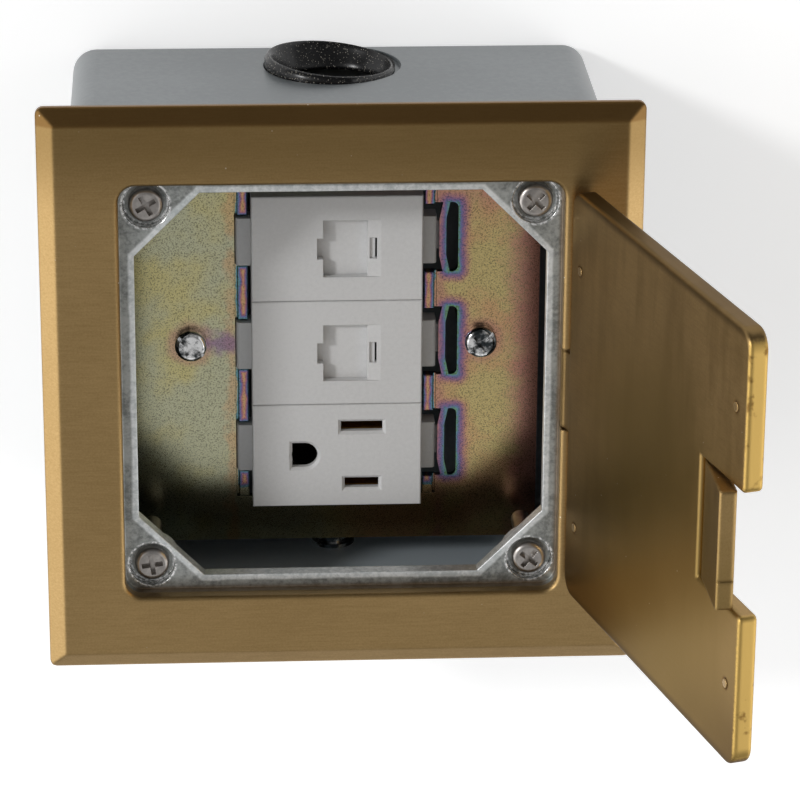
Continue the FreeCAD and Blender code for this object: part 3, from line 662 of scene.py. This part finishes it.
# %% Round the strap screws
def screw_marks(finish, x, y, right_side, wisp, field):
    from_middle = y - middle_y
    from_screw = away_from(abs(x) - STRAP_SCREW_X, from_middle) + (wisp - 0.5) * (3 * MM)
    field = finish.mix(finish.between(from_screw, 6.0 * MM, 3.6 * MM) * 0.5, field, FILM["pink"])
    across = finish.between(abs(from_middle) + (wisp - 0.5) * (6 * MM), 3.2 * MM, 0.5 * MM)
    along = finish.between(abs(abs(x) - STREAK_X), 5.0 * MM, 2.5 * MM)
    return finish.mix(across * along * (1.0 - right_side) * 0.75, field, FILM["purple"])


# %% Haloes along the cuts
def cut_haloes(finish, x, y, right_side, wisp, speck, colour):
    bay = y.maths("PINGPONG", y + (10 * pitch - middle_y), pitch / 2)
    past_x = (abs(x - SLOT_MIDDLE) - SLOT_HALF[0]).larger(0.0)
    past_y = (bay - SLOT_HALF[1]).larger((TAB_END - y) * 3.0).larger(0.0)
    from_slot = away_from(past_x, past_y) / MM + (wisp - 0.5) * 1.6 + (speck - 0.5) * 2.2
    halo = film_ramp(finish, from_slot / 4.0, SLOT_FILM)
    colour = finish.mix(finish.between(from_slot, 3.4, 1.0) * right_side, colour, halo)
    into_tab = (TAB_HALF - abs(abs(x) - TAB_MIDDLE)).smaller(bay - TAB_START).smaller(y - TAB_END)
    into_tab = into_tab / MM + (wisp - 0.5) * 1.4
    return finish.mix(into_tab > -0.35, colour, film_ramp(finish, into_tab, TAB_FILM))


# %% Yellow chromate
def chromate(name):
    finish = Finish(name, Metallic=1.0)
    place = finish.place()
    x = finish.axis(place, "X")
    y = finish.axis(place, "Y")
    drift = finish.noise(place, 55.0, detail=3.0, roughness=0.6)
    wisp = finish.noise(place, 260.0, detail=3.0, roughness=0.6)
    speck = finish.noise(place, 3000.0, detail=2.0, roughness=0.7)
    right_side = finish.between(x, -5 * MM, 10 * MM)
    colour = strap_field(finish, x, y, right_side, drift, wisp, speck)
    colour = screw_marks(finish, x, y, right_side, wisp, colour)
    colour = cut_haloes(finish, x, y, right_side, wisp, speck, colour)
    # Painted shade: the strap darkens towards its lower edge, in the pit colour.
    shade_below = finish.between(y, -29 * MM, -35 * MM)
    colour = finish.mix(shade_below * 0.62, colour, FILM["pit_and_shade"])
    pits = finish.between(speck, 0.36, 0.50)
    colour = finish.mix(pits * 0.60 + 0.40, FILM["pit_and_shade"], colour)
    finish.varies(Base_Color=colour, Roughness=0.18 + speck * 0.10,
                  Normal=finish.bump(speck, 0.02 * MM, METAL_EDGE))
    return finish


chromate("yellow_chromate").coat("mounting_strap")


# %% [markdown]
# ## Grey box, plastics and rubber
#
# Painted or galvanised sheet, moulded plastic and rubber are all dull: a colour that
# hardly moves, a fine grain and a little unevenness in the gloss. The back box is painted
# outside; within, its front wall is coloured near white as painted light, for the light that
# falls on it through the opening.

# %% Dull finishes
DULL_EDGE = 0.2 * MM
WALL_OUTER = -53.7 * MM
WALL_INNER = -53.1 * MM


def painted_light_on_front_wall(finish, place):
    """Where light is painted: one on the inner side of the front wall, short of its corners and the base."""
    x = finish.axis(place, "X")
    y = finish.axis(place, "Y")
    z = finish.axis(place, "Z")
    short = finish.between(abs(x).larger(0.0 - z), 47 * MM, 45 * MM)
    return short * finish.between(y, WALL_OUTER, WALL_INNER) * finish.between(y, -46 * MM, -49 * MM)


def dull(name, dark, light, rough, scale, bump, specks=0.0, painted_light=None, **more):
    finish = Finish(name, **more)
    place = finish.place()
    grain = finish.noise(place, scale, detail=4.0, roughness=0.6)
    cloud = finish.noise(place, 20.0, detail=2.0)
    colour = finish.mix(finish.between(grain * 0.5 + cloud * 0.5, 0.35, 0.65), dark, light)
    # Painted light on the inner side of the front wall.
    if painted_light:
        colour = finish.mix(painted_light_on_front_wall(finish, place), colour, painted_light)
    if specks:
        dots = finish.between(finish.cells(place, 2100.0), 0.24, 0.12) * finish.between(grain, 0.36, 0.44)
        colour = finish.mix(dots * specks, colour, SPECK)
    finish.varies(Base_Color=colour, Roughness=rough + grain * 0.1,
                  Normal=finish.bump(grain, bump, DULL_EDGE))
    return finish


# %% Steel, plastics and rubber
dull("grey_steel", shade(0.425, 0.445, 0.455), shade(0.49, 0.51, 0.52), 0.26, 900.0, 0.006 * MM,
     painted_light=shade(0.92, 0.97, 1.0), Metallic=0.35).coat("back_box", "corner_lugs", "strap_posts")
dull("white_plastic", shade(0.84, 0.84, 0.84), shade(0.87, 0.87, 0.87), 0.42, 1200.0, 0.006 * MM).coat(
    "upper_jack_face", "middle_jack_face", "receptacle_face", "upper_shutter", "middle_shutter")
dull("core_plastic", shade(0.255, 0.255, 0.25), shade(0.305, 0.305, 0.30), 0.45, 900.0, 0.006 * MM).coat(
    "upper_jack_core", "middle_jack_core", "receptacle_body")
rubber = dull("black_rubber", shade(0.05, 0.05, 0.055), shade(0.10, 0.10, 0.105), 0.22, 400.0, 0.02 * MM,
              specks=0.55, Specular_IOR_Level=0.35).coat("cable_grommet")


# %% [markdown]
# ## The grommet's lip
#
# The rubber grommet is pushed through the knockout by hand, so its lip sits askew: proud on
# one side, sunk on the other, and turned up to a thin edge. One profile is carried round the
# hole, and the height of its lip changes with the angle.

# %% The ring's profile
GROMMET_STEPS = 96
LIP_RISE = 1.35 * MM
LIP_LEAN = 1.15 * MM
LIP_SWELL = 0.55
FLANGE_R = 16.6
# Each point: radius and height above the wall in mm, how much it rises and swells.
GROMMET_PROFILE = [
    (13.5, -0.85, 0, 1), (13.6, 0.0, 0, 1), (13.5, -1.0, 1, 1), (13.1, -0.25, 1, 1),
    (12.75, 0.0, 1, 1), (12.55, -0.1, 1, 0.7), (12.1, -0.9, 1, 0.5), (11.3, -1.9, 0.6, 0),
    (10.5, -2.6, 0.2, 0), (10.05, -3.3, 0, 0), (10.0, -3.9, 0, 0), (13.0, -3.9, 0, 0),
    (FLANGE_R, -3.9, 0, 0), (FLANGE_R, -1.95, 0, 0), (12.8, -1.95, 0, 0), (12.75, -0.95, 0, 0),
]
grommet_low, grommet_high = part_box("cable_grommet")
wall_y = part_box("back_box")[1].y
hole_x = (grommet_low.x + grommet_high.x) / 2
hole_z = grommet_high.z - FLANGE_R * MM
print("cable hole at x", round(hole_x / MM, 1), "z", round(hole_z / MM, 1), "mm")

# %% Carry the profile round the hole
corners = []
for step in range(GROMMET_STEPS):
    angle = 2 * math.pi * step / GROMMET_STEPS
    lip = LIP_RISE - LIP_LEAN * math.cos(angle)
    for radius, out, rises, swells in GROMMET_PROFILE:
        radius -= LIP_SWELL * math.cos(angle) * swells
        z = max(hole_z + radius * MM * math.sin(angle), grommet_low.z)
        corners.append((hole_x + radius * MM * math.cos(angle), wall_y + out * MM + lip * rises, z))

count = len(GROMMET_PROFILE)
faces = []
for step in range(GROMMET_STEPS):
    here = step * count
    there = (step + 1) % GROMMET_STEPS * count
    for i in range(count):
        j = (i + 1) % count
        faces.append((here + i, here + j, there + j, there + i))

# %% Grommet's ring
lip_ring = flat_mesh("grommet_lip", corners, faces)
lip_ring.data.materials.append(rubber.material)
for face in lip_ring.data.polygons:
    face.use_smooth = True
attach(lip_ring, "box")
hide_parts("cable_grommet")
print("grommet lip stands", round((LIP_RISE + LIP_LEAN) / MM, 2), "mm proud at most")
